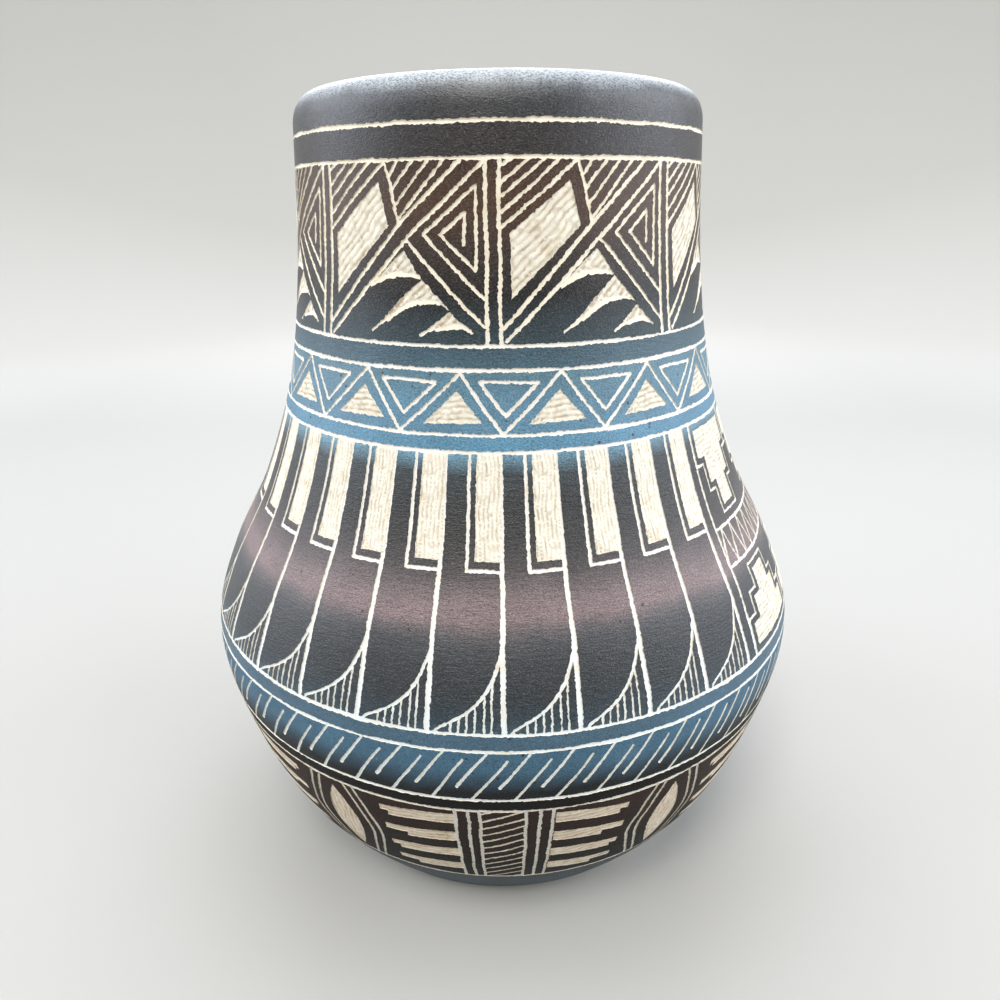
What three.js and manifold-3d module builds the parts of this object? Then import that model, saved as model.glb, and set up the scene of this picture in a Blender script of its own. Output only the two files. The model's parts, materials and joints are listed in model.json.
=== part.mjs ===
// Etched pottery vase: one thrown and fired clay body, dressed in coats of coloured clay slip.
// The potter scores through the slip after it dries, so every scored line parts one field of
// slip from the next. Here each field is a piece of its own, seated on the bare clay.
// Millimetres, +Z up, the vase stands on the plane z = 0 and its front faces -Y.

import * as THREE from 'three';
import Module from 'manifold-3d';
import { mergeVertices } from 'three/addons/utils/BufferGeometryUtils.js';

const wasm = await Module();
wasm.setup();

// Outline of the clay body: heights above the table and outer radii. Next to the belly, how
// far the wall draws in from the belly's radius
const lipRootHeight = 223;
const lipRootRadius = 56.2;
const waistHeight = 189;
const waistRadius = 58.8;
const neckBaseHeight = 157;
const neckBaseRadius = 64.4;
const upperShoulderHeight = 128;
const upperShoulderRadius = 74.7;
const lowerShoulderHeight = 103;
const bellyHeight = 81;
const bellyRadius = 95;
const lowerShoulderDrawIn = 6.9;
const underBellyHeight = 54;
const underBellyDrawIn = 4.5;
const ankleHeight = 27;
const ankleRadius = 80.7;
const footEdgeHeight = 3.2;
const footEdgeRadius = 64.8;
const footFlatRadius = 57.5;

// Rolled lip, wall, floor and the shallow hollow under the foot
const lipRise = 7.8;
const lipOuterWidth = 5.4;
const lipInnerWidth = 3.5;
const wallThickness = 6;
const innerNeckDrop = 9;
const floorThickness = 8;
const floorCornerRise = 12;
const footHollowRadius = 43;
const footHollowDepth = 1.6;
const footHollowStep = 2.4;

// Slip: how thick it lies, the seat clearance to the clay and the width of a scored line
const slipThickness = 0.5;
const slipSeat = 0.3;
const scoredLine = 0.9;

// Heights of the bands down the wall, between the middles of the scored rings. Together they
// fill the wall, so they stretch alike when its length changes
const rimBandHeight = 2.4;
const collarBandHeight = 7.3;
const neckBandHeight = 40.4;
const slateBandHeight = 5.6;
const zigzagBandHeight = 15.2;
const blueBandHeight = 4.1;
const featherBandHeight = 66.9;
const shoulderBandHeight = 4.4;
const dashBandHeight = 15.9;
const blackBandHeight = 4.5;
const lowerBandHeight = 38.9;
const baseBandHeight = 24.9;
const bareFootBandHeight = 3.4;

// Fields round the pot
const neckPanelCount = 8;
const neckStileWidth = 3.1;
const triangleCount = 16;
const featherPitchCount = 32;
const stepPanelPitchCount = 6;
const stepPanelStartAngle = 45;
const lowerPanelCount = 6;
const lowerPanelStartAngle = -30;

// Feather fields: distances along the wall and, across, at the middle of the band
const featherStripWidth = 7.5;
const featherSlotHeight = 26.2;
const featherHeelHeight = 17.3;
const featherHeelLand = 2.1;

// Stepped panel
const stepBorderWidth = 4;
const stepMargin = 2.2;
const stepMotifCount = 3;
const hangingTipShare = 0.38;
const standingTipShare = 0.68;

// Lower panels
const lowerPostWidth = 24;
const lowerBarLength = 20;
const lowerBarCount = 4;
const lowerBarHeightShare = 0.45;
const lowerBarDroopShare = 0.22;
const lowerMargin = 2;

// Fineness of the facets
const turnSegmentCount = 36;
const innerWallStepCount = 8;
const lipStepCount = 3;
const footStepCount = 2;
const bendStepCount = 2;
const wallTableCount = 600;
const longestRow = 14.5;
const mergeDistance = 1e-4;

// How far cutters reach to each side of the wall: for fields that bend far round the pot, for
// feathers and broad windows, and for small slanted windows
const fieldReach = 40;
const featherReach = 12;
const windowReach = 5;

// Colours and finishes of the fired clay and the slips
const finishes = {
  clay: { color: 0xe9dfc6, roughness: 0.85 },
  charcoal: { color: 0x2b2927, roughness: 0.45 },
  umber: { color: 0x372b26, roughness: 0.6 },
  slate: { color: 0x56666c, roughness: 0.55 },
  blue: { color: 0x4c7f9f, roughness: 0.55 },
  night: { color: 0x2c3439, roughness: 0.6 },
  shoulderBlue: { color: 0x4b6f86, roughness: 0.55 },
  black: { color: 0x1f1c1b, roughness: 0.55 },
  earth: { color: 0x30241f, roughness: 0.6 },
  base: { color: 0x47555c, roughness: 0.6 },
};

const vase = new THREE.Group();

function addPiece(name, geometry, finish) {
  const mesh = new THREE.Mesh(geometry, new THREE.MeshStandardMaterial({ ...finish, metalness: 0 }));
  mesh.name = name;
  vase.add(mesh);
}

// The outer wall runs down from the lip's root to the foot's edge
const wallCurve = new THREE.SplineCurve([
  new THREE.Vector2(lipRootRadius, lipRootHeight),
  new THREE.Vector2(waistRadius, waistHeight),
  new THREE.Vector2(neckBaseRadius, neckBaseHeight),
  new THREE.Vector2(upperShoulderRadius, upperShoulderHeight),
  new THREE.Vector2(bellyRadius - lowerShoulderDrawIn, lowerShoulderHeight),
  new THREE.Vector2(bellyRadius, bellyHeight),
  new THREE.Vector2(bellyRadius - underBellyDrawIn, underBellyHeight),
  new THREE.Vector2(ankleRadius, ankleHeight),
  new THREE.Vector2(footEdgeRadius, footEdgeHeight),
]);
wallCurve.arcLengthDivisions = wallTableCount;
const wallLength = wallCurve.getLength();

// A point a distance down the wall and a distance proud of it, as radius and height
function wallPoint(down, proud) {
  const share = THREE.MathUtils.clamp(down / wallLength, 0, 1);
  const point = wallCurve.getPointAt(share);
  const along = wallCurve.getTangentAt(share);
  return new THREE.Vector2(point.x - along.y * proud, point.y + along.x * proud);
}

// The rolled lip, from its root outside over the crest to its root inside, offset by proud
function lipPoints(proud) {
  const crestRadius = lipRootRadius - lipOuterWidth;
  const halves = [
    { width: lipOuterWidth, from: 0, to: Math.PI / 2 },
    { width: lipInnerWidth, from: Math.PI / 2, to: Math.PI },
  ];
  const points = halves.flatMap(({ width, from, to }) => new THREE.EllipseCurve(
    crestRadius, lipRootHeight, width + proud, lipRise + proud, from, to).getPoints(lipStepCount));
  return points.filter((point, i) => i === 0 || point.distanceTo(points[i - 1]) > mergeDistance);
}

function evenSteps(from, to, steps) {
  return Array.from({ length: steps + 1 }, (_, i) => THREE.MathUtils.lerp(from, to, i / steps));
}

// Each band's upper and lower edge down the wall, clear of the scored rings that part them, and
// its rows of facets, which the clay under it shares so that the slip's seat stays even
const bandHeights = {
  rim: rimBandHeight,
  collar: collarBandHeight,
  neck: neckBandHeight,
  slate: slateBandHeight,
  triangles: zigzagBandHeight,
  blue: blueBandHeight,
  feathers: featherBandHeight,
  shoulder: shoulderBandHeight,
  dashes: dashBandHeight,
  black: blackBandHeight,
  lower: lowerBandHeight,
  base: baseBandHeight,
  bareFoot: bareFootBandHeight,
};
const bandFit = wallLength / Object.values(bandHeights).reduce((sum, height) => sum + height);
const bands = {};
Object.entries(bandHeights).reduce((ring, [name, height]) => {
  const nextRing = ring + height * bandFit;
  const top = ring + scoredLine / 2;
  const bottom = nextRing - scoredLine / 2;
  const rows = evenSteps(bottom, top, Math.ceil((bottom - top) / longestRow));
  bands[name] = { top, bottom, rows, ring, radius: wallPoint((top + bottom) / 2, 0).x };
  return nextRing;
}, 0);

// Turns an outline of radius and height about the vertical axis
function turn(points) {
  const geometry = new THREE.LatheGeometry(points, turnSegmentCount);
  geometry.rotateX(Math.PI / 2);
  return geometry;
}

// Between the drawn geometry and the solids that cut each other
function toSolid(geometry) {
  const bare = new THREE.BufferGeometry();
  bare.setAttribute('position', geometry.getAttribute('position'));
  bare.setIndex(geometry.getIndex());
  const merged = mergeVertices(bare, mergeDistance);
  return new wasm.Manifold(new wasm.Mesh({
    numProp: 3,
    vertProperties: merged.getAttribute('position').array,
    triVerts: Uint32Array.from(merged.getIndex().array),
  }));
}

function toGeometry(solid) {
  const { vertProperties, triVerts } = solid.getMesh();
  const geometry = new THREE.BufferGeometry();
  geometry.setAttribute('position', new THREE.Float32BufferAttribute(vertProperties, 3));
  geometry.setIndex(new THREE.Uint32BufferAttribute(triVerts, 1));
  geometry.computeVertexNormals();
  return geometry;
}

// The clay body's outline, from the middle of the foot round the wall to the middle of the floor
function clayOutline() {
  const foot = new THREE.QuadraticBezierCurve(
    new THREE.Vector2(footFlatRadius, 0),
    new THREE.Vector2((footFlatRadius + footEdgeRadius) / 2, 0),
    new THREE.Vector2(footEdgeRadius, footEdgeHeight)).getPoints(footStepCount);
  const outside = Object.values(bands).reverse()
    .flatMap(({ rows, ring }) => [...rows.slice(1, -1), ring])
    .slice(0, -1)
    .map((down) => wallPoint(down, 0));
  const inside = evenSteps(innerNeckDrop, wallLength, innerWallStepCount)
    .map((down) => wallPoint(down, -wallThickness))
    .filter((point) => point.y > floorThickness + floorCornerRise);
  const corner = inside[inside.length - 1];
  const floorEdge = corner.x - floorCornerRise;
  const floor = new THREE.QuadraticBezierCurve(
    corner,
    new THREE.Vector2((corner.x + floorEdge) / 2, floorThickness),
    new THREE.Vector2(floorEdge, floorThickness)).getPoints(footStepCount).slice(1);
  return [
    new THREE.Vector2(0, footHollowDepth),
    new THREE.Vector2(footHollowRadius - footHollowStep, footHollowDepth),
    new THREE.Vector2(footHollowRadius, 0),
    ...foot,
    ...outside,
    ...lipPoints(0),
    ...inside,
    ...floor,
    new THREE.Vector2(0, floorThickness),
  ];
}

// A band of slip that runs right round between two scored rings
function slipRing({ rows }) {
  const outer = rows.map((down) => wallPoint(down, slipSeat + slipThickness));
  const inner = rows.map((down) => wallPoint(down, slipSeat)).reverse();
  return turn([...outer, ...inner, outer[0]]);
}

// The rim's slip wraps the lip, from the first scored ring to the lip's inner root
function rimOutline() {
  const { bottom } = bands.rim;
  const proud = slipSeat + slipThickness;
  const outer = [wallPoint(bottom, proud), ...lipPoints(proud)];
  const inner = [wallPoint(bottom, slipSeat), ...lipPoints(slipSeat)].reverse();
  return [...outer, ...inner, outer[0]];
}

// A field's frame takes fractions across and down it to an angle and a distance down the wall
function fieldFrame(startAngle, spanAngle, { top, bottom, radius }) {
  const place = (u, v) => [startAngle + u * spanAngle, THREE.MathUtils.lerp(top, bottom, v)];
  const width = THREE.MathUtils.degToRad(spanAngle) * radius;
  return { width, height: bottom - top, place };
}

// Draws a closed outline: a pair is a corner, four numbers are a bend and where it ends
function draw(frame, steps) {
  const path = new THREE.Shape();
  path.moveTo(...frame.place(...steps[0]));
  for (const step of steps.slice(1)) {
    const end = frame.place(...step.slice(-2));
    if (step.length === 2) {
      path.lineTo(...end);
    } else {
      path.quadraticCurveTo(...frame.place(step[0], step[1]), ...end);
    }
  }
  path.closePath();
  return path;
}

// A cutter is an outline's prism bent round the wall, its sides square to the wall
function cutter(frame, outline, reach) {
  const prism = new THREE.ExtrudeGeometry(draw(frame, outline), {
    depth: 1, steps: 1, bevelEnabled: false, curveSegments: bendStepCount });
  const position = prism.getAttribute('position');
  for (let i = 0; i < position.count; i += 1) {
    const angle = THREE.MathUtils.degToRad(position.getX(i));
    const proud = THREE.MathUtils.lerp(reach, -reach, position.getZ(i));
    const point = wallPoint(position.getY(i), proud);
    position.setXYZ(i, point.x * Math.sin(angle), -point.x * Math.cos(angle), point.y);
  }
  return toSolid(prism);
}

// Cuts windows out of a solid piece of slip
function cutWindows(solid, frame, windows, reach) {
  return windows.reduce((left, window) => left.subtract(cutter(frame, window, reach)), solid);
}

// A whole field's cutter runs past the band's upper and lower edges
const past = 0.1;
const wholeField = [[0, -past], [0, 1 + past], [1, 1 + past], [1, -past]];

// Cuts one field out of a turned band
function cutField(band, frame, outline, reach) {
  return toSolid(slipRing(band)).intersect(cutter(frame, outline, reach));
}

const angleOf = (distance, radius) => THREE.MathUtils.radToDeg(distance / radius);

// Neck band: panels with a scraped lozenge and three scraped talons, parted by narrow stiles
const lozenge = [[0.05, 0.385], [0.06, 0.745], [0.445, 0.34], [0.385, 0.1]];
const talons = [
  [[0.54, 0.47], [0.245, 0.74], [0.42, 0.57, 0.625, 0.615]],
  [[0.655, 0.645], [0.5, 0.77, 0.33, 0.95], [0.46, 0.845], [0.56, 0.75, 0.785, 0.78]],
  [[0.815, 0.81], [0.7, 0.87, 0.635, 0.945], [0.72, 0.905], [0.86, 0.86, 0.95, 0.965]],
];

function addNeckBand() {
  const band = bands.neck;
  const pitch = 360 / neckPanelCount;
  const line = angleOf(scoredLine, band.radius);
  const stile = angleOf(neckStileWidth, band.radius) - line;
  const panelSpan = pitch - stile - 2 * line;
  for (let i = 0; i < neckPanelCount; i += 1) {
    const start = i * pitch + line / 2;
    const panel = fieldFrame(start, panelSpan, band);
    const field = cutField(band, panel, wholeField, fieldReach);
    addPiece(`neck_panel_slip_${i + 1}`,
      toGeometry(cutWindows(field, panel, [lozenge, ...talons], windowReach)), finishes.umber);
    const post = fieldFrame(start + panelSpan + line, stile, band);
    addPiece(`neck_stile_slip_${i + 1}`,
      toGeometry(cutField(band, post, wholeField, fieldReach)), finishes.umber);
  }
}

// Triangle band: runs right round, with a scraped triangle in each pitch
const scrapedTriangle = [[0.26, 0.84], [0.84, 0.82], [0.58, 0.28]];

function addTriangleBand() {
  const pitch = 360 / triangleCount;
  const starts = Array.from({ length: triangleCount }, (_, i) => i * pitch);
  const band = starts.reduce((left, start) => cutWindows(left,
    fieldFrame(start, pitch, bands.triangles), [scrapedTriangle], windowReach),
  toSolid(slipRing(bands.triangles)));
  addPiece('triangle_band_slip', toGeometry(band), finishes.blue);
}

// Feather band: each feather is a broad strip beside a scraped slot, with a swept heel
function featherOutline(frame) {
  const across = featherStripWidth / frame.width;
  const slotFoot = featherSlotHeight / frame.height;
  const heelTop = 1 - featherHeelHeight / frame.height;
  const heelBend = 1 - featherHeelHeight / 3 / frame.height;
  const heelEnd = featherHeelLand / frame.width;
  return [
    [0, -past], [0, 1 + past], [heelEnd, 1 + past], [heelEnd, 1],
    [(1 + heelEnd) / 2, heelBend, 1, heelTop],
    [1, slotFoot], [across, slotFoot], [across, -past],
  ];
}

function addFeatherBand() {
  const band = bands.feathers;
  const pitch = 360 / featherPitchCount;
  const line = angleOf(scoredLine, band.radius);
  const firstStart = stepPanelStartAngle + stepPanelPitchCount * pitch;
  for (let i = 0; i < featherPitchCount - stepPanelPitchCount; i += 1) {
    const frame = fieldFrame(firstStart + i * pitch + line / 2, pitch - line, band);
    addPiece(`feather_slip_${i + 1}`,
      toGeometry(cutField(band, frame, featherOutline(frame), featherReach)), finishes.night);
  }
}

// A stepped pyramid between two sides, from its broad base to its narrow tip
function steppedWindow(left, right, base, tip) {
  const middle = (left + right) / 2;
  const half = (right - left) / 2;
  const stairs = [[1, 0], [1, 1 / 3], [2 / 3, 1 / 3], [2 / 3, 2 / 3], [1 / 3, 2 / 3], [1 / 3, 1]];
  const side = (turned) => stairs.map(([across, up]) => [
    middle + turned * half * across, THREE.MathUtils.lerp(base, tip, up)]);
  return [...side(1), ...side(-1).reverse()];
}

// The stepped panel takes the place of some feathers: hanging and standing stepped windows
function addStepPanel() {
  const band = bands.feathers;
  const line = angleOf(scoredLine, band.radius);
  const span = stepPanelPitchCount * 360 / featherPitchCount - line;
  const frame = fieldFrame(stepPanelStartAngle + line / 2, span, band);
  const border = stepBorderWidth / frame.width;
  const margin = stepMargin / frame.width;
  const edge = stepMargin / frame.height;
  const motif = (1 - 2 * border) / stepMotifCount;
  const windows = Array.from({ length: stepMotifCount }, (_, i) => {
    const left = border + i * motif + margin;
    const right = left + motif - 2 * margin;
    return [steppedWindow(left, right, edge, hangingTipShare),
      steppedWindow(left, right, 1 - edge, standingTipShare)];
  }).flat();
  const field = cutField(band, frame, wholeField, fieldReach);
  addPiece('step_panel_slip',
    toGeometry(cutWindows(field, frame, windows, featherReach)), finishes.night);
}

// Lower band: broad panels, each a plain post with scraped bars fanned out to both sides
function addLowerBand() {
  const band = bands.lower;
  const pitch = 360 / lowerPanelCount;
  const line = angleOf(scoredLine, band.radius);
  for (let i = 0; i < lowerPanelCount; i += 1) {
    const frame = fieldFrame(lowerPanelStartAngle + i * pitch + line / 2, pitch - line, band);
    const inner = lowerPostWidth / 2 / frame.width;
    const outer = inner + lowerBarLength / frame.width;
    const edge = lowerMargin / frame.height;
    const pitchDown = (1 - 2 * edge) / lowerBarCount;
    const windows = [-1, 1].flatMap((side) => Array.from({ length: lowerBarCount }, (_, bar) => {
      const high = edge + bar * pitchDown;
      const low = high + pitchDown * lowerBarHeightShare;
      const droop = pitchDown * lowerBarDroopShare;
      return [[0.5 + side * inner, high], [0.5 + side * inner, low],
        [0.5 + side * outer, low + droop], [0.5 + side * outer, high + droop]];
    }));
    const field = cutField(band, frame, wholeField, fieldReach);
    addPiece(`lower_panel_slip_${i + 1}`,
      toGeometry(cutWindows(field, frame, windows, featherReach)), finishes.earth);
  }
}

addPiece('clay_body', turn(clayOutline()), finishes.clay);
addPiece('rim_slip', turn(rimOutline()), finishes.charcoal);
const plainBands = [
  { name: 'collar_slip', band: bands.collar, finish: finishes.umber },
  { name: 'slate_band_slip', band: bands.slate, finish: finishes.slate },
  { name: 'blue_band_slip', band: bands.blue, finish: finishes.blue },
  { name: 'shoulder_band_slip', band: bands.shoulder, finish: finishes.shoulderBlue },
  { name: 'dash_band_slip', band: bands.dashes, finish: finishes.shoulderBlue },
  { name: 'black_band_slip', band: bands.black, finish: finishes.black },
  { name: 'base_slip', band: bands.base, finish: finishes.base },
];
for (const { name, band, finish } of plainBands) {
  addPiece(name, slipRing(band), finish);
}
addNeckBand();
addTriangleBand();
addFeatherBand();
addStepPanel();
addLowerBand();

export default vase;
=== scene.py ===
# Etched pottery vase: a thrown clay body under fields of coloured slip, scored through to the clay.
# Each band is drawn flat, in millimetres round and down the wall, then wrapped on the pot.

import json
import math
import random
from functools import partial

import bpy
from mathutils import Euler, Matrix, Vector
from mathutils.geometry import delaunay_2d_cdt

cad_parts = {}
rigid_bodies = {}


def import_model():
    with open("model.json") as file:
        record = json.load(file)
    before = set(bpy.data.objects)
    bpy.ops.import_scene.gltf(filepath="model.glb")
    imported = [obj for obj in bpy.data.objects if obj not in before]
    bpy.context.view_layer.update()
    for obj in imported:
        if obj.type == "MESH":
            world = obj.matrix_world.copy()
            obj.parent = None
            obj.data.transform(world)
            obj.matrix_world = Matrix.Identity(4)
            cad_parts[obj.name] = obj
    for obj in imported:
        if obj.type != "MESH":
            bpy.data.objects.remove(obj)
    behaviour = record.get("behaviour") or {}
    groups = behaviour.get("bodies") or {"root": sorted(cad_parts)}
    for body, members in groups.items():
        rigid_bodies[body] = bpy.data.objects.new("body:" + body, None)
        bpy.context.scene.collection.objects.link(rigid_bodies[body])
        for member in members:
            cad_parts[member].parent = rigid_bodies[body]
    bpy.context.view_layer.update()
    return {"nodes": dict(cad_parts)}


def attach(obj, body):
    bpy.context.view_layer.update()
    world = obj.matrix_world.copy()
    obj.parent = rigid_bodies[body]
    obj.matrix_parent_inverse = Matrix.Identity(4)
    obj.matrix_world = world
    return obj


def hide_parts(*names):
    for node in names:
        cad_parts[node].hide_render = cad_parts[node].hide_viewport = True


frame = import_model()
print("frame loaded:", len(frame["nodes"]), "nodes")

mm = 0.001


# Camera, floor and light

camera = {
    "lens": 26.0,
    "sensor": 36.0,
    "fromAxis": 230.3,
    "height": 204.3,
    "pitchDown": 22.42,
    "yaw": 0.12,
    "roll": -0.62,
    "clip": (0.01, 50),
}
studio = {
    "innerRadius": 0.3,
    "floorRadius": 1.1,
    "sweepRadius": 0.9,
    "wallTop": 2.1,
    "bends": 16,
    "turns": 64,
    "paper": "#a8a7a3",
    "paperRoughness": 0.85,
    "skyColour": "#d8dce2",
    "skyStrength": 0.25,
    # name, azimuth, elevation, distance, width, height, watts, colour
    "lamps": [
        ("key", -14, 56, 1.05, 0.36, 0.36, 7.6, "#fffaf2"),
        ("fill", 50, 24, 1.1, 0.4, 0.4, 2.9, "#f8faff"),
        ("leftSide", -89, 24, 1.3, 1.15, 0.85, 14.5, "#eef4ff"),
        ("rightSide", 88, 24, 1.3, 1.15, 0.85, 14.5, "#eef4ff"),
        ("top", 180, 78, 1.0, 1.3, 0.8, 10.0, "#f6f9ff"),
        ("back", 180, 36, 1.25, 1.3, 0.5, 9.5, "#f2f6ff"),
    ],
    "lampAim": 0.12,
    # over the floor, shining outward on the paper wall: name, azimuth, watts
    "wallLamps": [("backWall", 180, 15.0), ("leftWall", -90, 12.0), ("rightWall", 90, 12.0),
                  ("frontWall", 0, 5.0)],
    "wallLampOut": 0.8,
    "wallLampUp": 0.85,
    "wallLampTilt": 22,
    "wallLampSize": (1.6, 0.6),
}


def linear(code):
    channels = [int(code[i:i + 2], 16) / 255 for i in (1, 3, 5)]
    return [c / 12.92 if c <= 0.04045 else ((c + 0.055) / 1.055) ** 2.4 for c in channels]


def colour(code):
    return (*linear(code), 1)


def addNode(tree, kind, inputs=(), **settings):
    # the inputs are named or stand in the sockets' order; a socket among them is linked
    node = tree.nodes.new(kind)
    for name, value in settings.items():
        setattr(node, name, value)
    for name, value in inputs.items() if isinstance(inputs, dict) else enumerate(inputs):
        if isinstance(value, bpy.types.NodeSocket):
            tree.links.new(value, node.inputs[name])
        else:
            node.inputs[name].default_value = value
    return node.outputs


def newObject(name, data):
    made = bpy.data.objects.new(name, data)
    bpy.context.scene.collection.objects.link(made)
    return made


def placeCamera():
    data = bpy.data.cameras.new("camera")
    data.lens = camera["lens"]
    data.sensor_width = camera["sensor"]
    data.clip_start, data.clip_end = camera["clip"]
    eye = newObject("camera", data)
    aim = Euler((math.radians(90 - camera["pitchDown"]), 0, math.radians(camera["yaw"])))
    roll = Matrix.Rotation(math.radians(camera["roll"]), 4, "Z")
    at = Matrix.Translation((0, -camera["fromAxis"] * mm, camera["height"] * mm))
    eye.matrix_world = at @ aim.to_matrix().to_4x4() @ roll
    bpy.context.scene.camera = eye


def outward(azimuth, elevation):
    # the direction away from the pot; azimuth 0 is the front
    a, e = math.radians(azimuth), math.radians(elevation)
    return Vector((math.sin(a) * math.cos(e), -math.cos(a) * math.cos(e), math.sin(e)))


def hangLamp(name, place, shines, size, watts, tint="#ffffff"):
    data = bpy.data.lights.new(name, "AREA")
    data.shape = "RECTANGLE"
    data.size, data.size_y = size
    data.energy = watts
    data.color = linear(tint)
    lamp = newObject(name, data)
    lamp.location = place
    lamp.rotation_euler = (-shines).to_track_quat("Z", "Y").to_euler()
    lamp.visible_camera = False


def lightStudio():
    # a bowl of pale paper: flat under the pot, swept up into a wall all round
    floor, sweep, count = studio["floorRadius"], studio["sweepRadius"], studio["turns"]
    bends = [math.pi / 2 * k / studio["bends"] for k in range(studio["bends"] + 1)]
    line = [(studio["innerRadius"], 0)]
    line += [(floor + sweep * math.sin(a), sweep * (1 - math.cos(a))) for a in bends]
    line.append((floor + sweep, studio["wallTop"]))
    turns = [math.tau * k / count for k in range(count)]
    places = [(r * math.cos(a), r * math.sin(a), z) for r, z in line for a in turns] + [(0, 0, 0)]
    faces = []
    for i in range(0, count * (len(line) - 1), count):
        for k in range(count):
            after = (k + 1) % count
            faces.append((i + k, i + count + k, i + count + after, i + after))
    faces += [(len(places) - 1, k, (k + 1) % count) for k in range(count)]
    mesh = bpy.data.meshes.new("paper")
    mesh.from_pydata(places, [], faces)
    mesh.shade_smooth()
    paper = newObject("paper", mesh)
    paint = bpy.data.materials.new("palePaper")
    paint.use_nodes = True
    shader = paint.node_tree.nodes["Principled BSDF"]
    shader.inputs["Base Color"].default_value = colour(studio["paper"])
    shader.inputs["Roughness"].default_value = studio["paperRoughness"]
    mesh.materials.append(paint)
    aim, up = Vector((0, 0, studio["lampAim"])), Vector((0, 0, studio["wallLampUp"]))
    for name, azimuth, elevation, distance, width, height, watts, tint in studio["lamps"]:
        away = outward(azimuth, elevation)
        hangLamp(name, aim + away * distance, -away, (width, height), watts, tint)
    for name, azimuth, watts in studio["wallLamps"]:
        hangLamp(name, outward(azimuth, 0) * studio["wallLampOut"] + up,
                 outward(azimuth, -studio["wallLampTilt"]), studio["wallLampSize"], watts)
    world = bpy.data.worlds.new("studio")
    world.use_nodes = True
    sky = world.node_tree.nodes["Background"]
    sky.inputs["Color"].default_value = colour(studio["skyColour"])
    sky.inputs["Strength"].default_value = studio["skyStrength"]
    bpy.context.scene.world = world
    bpy.context.scene.view_settings.view_transform = "Standard"


placeCamera()
lightStudio()
print("camera and studio placed")


# The pot's outline, in millimetres

pot = {
    # outer wall: radius and height, from the lip's root down to the foot's edge
    "wall": [(56.2, 223), (58.8, 189), (64.4, 157), (74.7, 128), (88.1, 103), (95, 81),
             (90.5, 54), (80.7, 27), (64.8, 3.2)],
    "lipRise": 7.8,
    "lipOuterWidth": 5.4,
    "lipInnerWidth": 3.5,
    "floorThickness": 8,
    "footFlatRadius": 57.5,
    "footHollowRadius": 43,
    "footHollowDepth": 1.6,
    "footHollowStep": 2.4,
    "turnCount": 240,
    "plainCopies": 48,
    "slipThickness": 0.26,
    "wallSteps": 1200,
    "lipSteps": 48,
    "sharpAngle": 40,
    "weld": 0.01,
    "chatterSize": 0.6,
}
# bands of slip down the wall, between the middles of the scored rings
bandHeights = {
    "rim": 2.4, "collar": 7.3, "neck": 40.4, "slate": 5.6, "zigzag": 15.2, "blue": 4.1,
    "feathers": 66.9, "shoulder": 4.4, "dashes": 15.9, "black": 4.5, "lower": 38.9, "base": 24.9,
}
bareFootHeight = 3.4
scoredRing = 0.9
half = scoredRing / 2


def splinePoint(points, t):
    # three.js's SplineCurve: a Catmull-Rom curve through the points
    last = len(points) - 1
    i = min(int(t * last), last - 1)
    w = t * last - i
    p0, p1 = Vector(points[max(i - 1, 0)]), Vector(points[i])
    p2, p3 = Vector(points[i + 1]), Vector(points[min(i + 2, last)])
    v0, v1 = (p2 - p0) / 2, (p3 - p1) / 2
    cubic, square = 2 * p1 - 2 * p2 + v0 + v1, 3 * p2 - 3 * p1 - 2 * v0 - v1
    return cubic * w ** 3 + square * w ** 2 + v0 * w + p1


def lengthsAlong(points):
    lengths = [0.0]
    for a, b in zip(points, points[1:]):
        lengths.append(lengths[-1] + (b - a).length)
    return lengths


def pointAt(points, lengths, length):
    i = max(1, next((k for k, v in enumerate(lengths) if v >= length), len(points) - 1))
    share = (length - lengths[i - 1]) / max(lengths[i] - lengths[i - 1], 1e-9)
    return points[i - 1].lerp(points[i], share)


wallPath = [splinePoint(pot["wall"], k / pot["wallSteps"]) for k in range(pot["wallSteps"] + 1)]
wallLengths = lengthsAlong(wallPath)
wallLength = wallLengths[-1]


def wallAt(down):
    return pointAt(wallPath, wallLengths, down)


def lipPath():
    # from the lip's inner root over the crest to its outer root
    root = Vector(pot["wall"][0])
    crest = root.x - pot["lipOuterWidth"]
    path = []
    for k in range(pot["lipSteps"] + 1):
        angle = math.pi - math.pi * k / pot["lipSteps"]
        width = pot["lipInnerWidth"] if k < pot["lipSteps"] / 2 else pot["lipOuterWidth"]
        path.append(Vector((crest + width * math.cos(angle),
                            root.y + pot["lipRise"] * math.sin(angle))))
    return path


outsidePath = lipPath()[:-1] + wallPath
lipLength = lengthsAlong(lipPath())[-1]


def bandTable():
    fit = wallLength / (sum(bandHeights.values()) + bareFootHeight)
    table, down = {}, 0.0
    for name, height in bandHeights.items():
        table[name] = {"ring": down, "height": height * fit,
                       "radius": wallAt(down + height * fit / 2).x}
        down += height * fit
    return table


bands = bandTable()


def makeProfile(name, points):
    # a poly curve in the XZ plane that the wrapping tree measures lengths along
    data = bpy.data.curves.new(name, "CURVE")
    data.dimensions = "3D"
    line = data.splines.new("POLY")
    line.points.add(len(points) - 1)
    for place, point in zip(line.points, points):
        place.co = (point[0] * mm, 0, point[1] * mm, 1)
    return newObject(name, data)


# The tree that repeats a flat field round the pot, roughens its scored edges and bends it on

def newTree(name, inputs, output):
    # each input: its name, its kind and, for a number, what it is at the start
    tree = bpy.data.node_groups.new(name, "GeometryNodeTree")
    for title, kind, *start in inputs:
        socket = tree.interface.new_socket(title, in_out="INPUT", socket_type="NodeSocket" + kind)
        if start:
            socket.default_value = start[0]
    title, kind = output
    tree.interface.new_socket(title, in_out="OUTPUT", socket_type="NodeSocket" + kind)
    add = partial(addNode, tree)
    return tree, add, add("NodeGroupInput")


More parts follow.
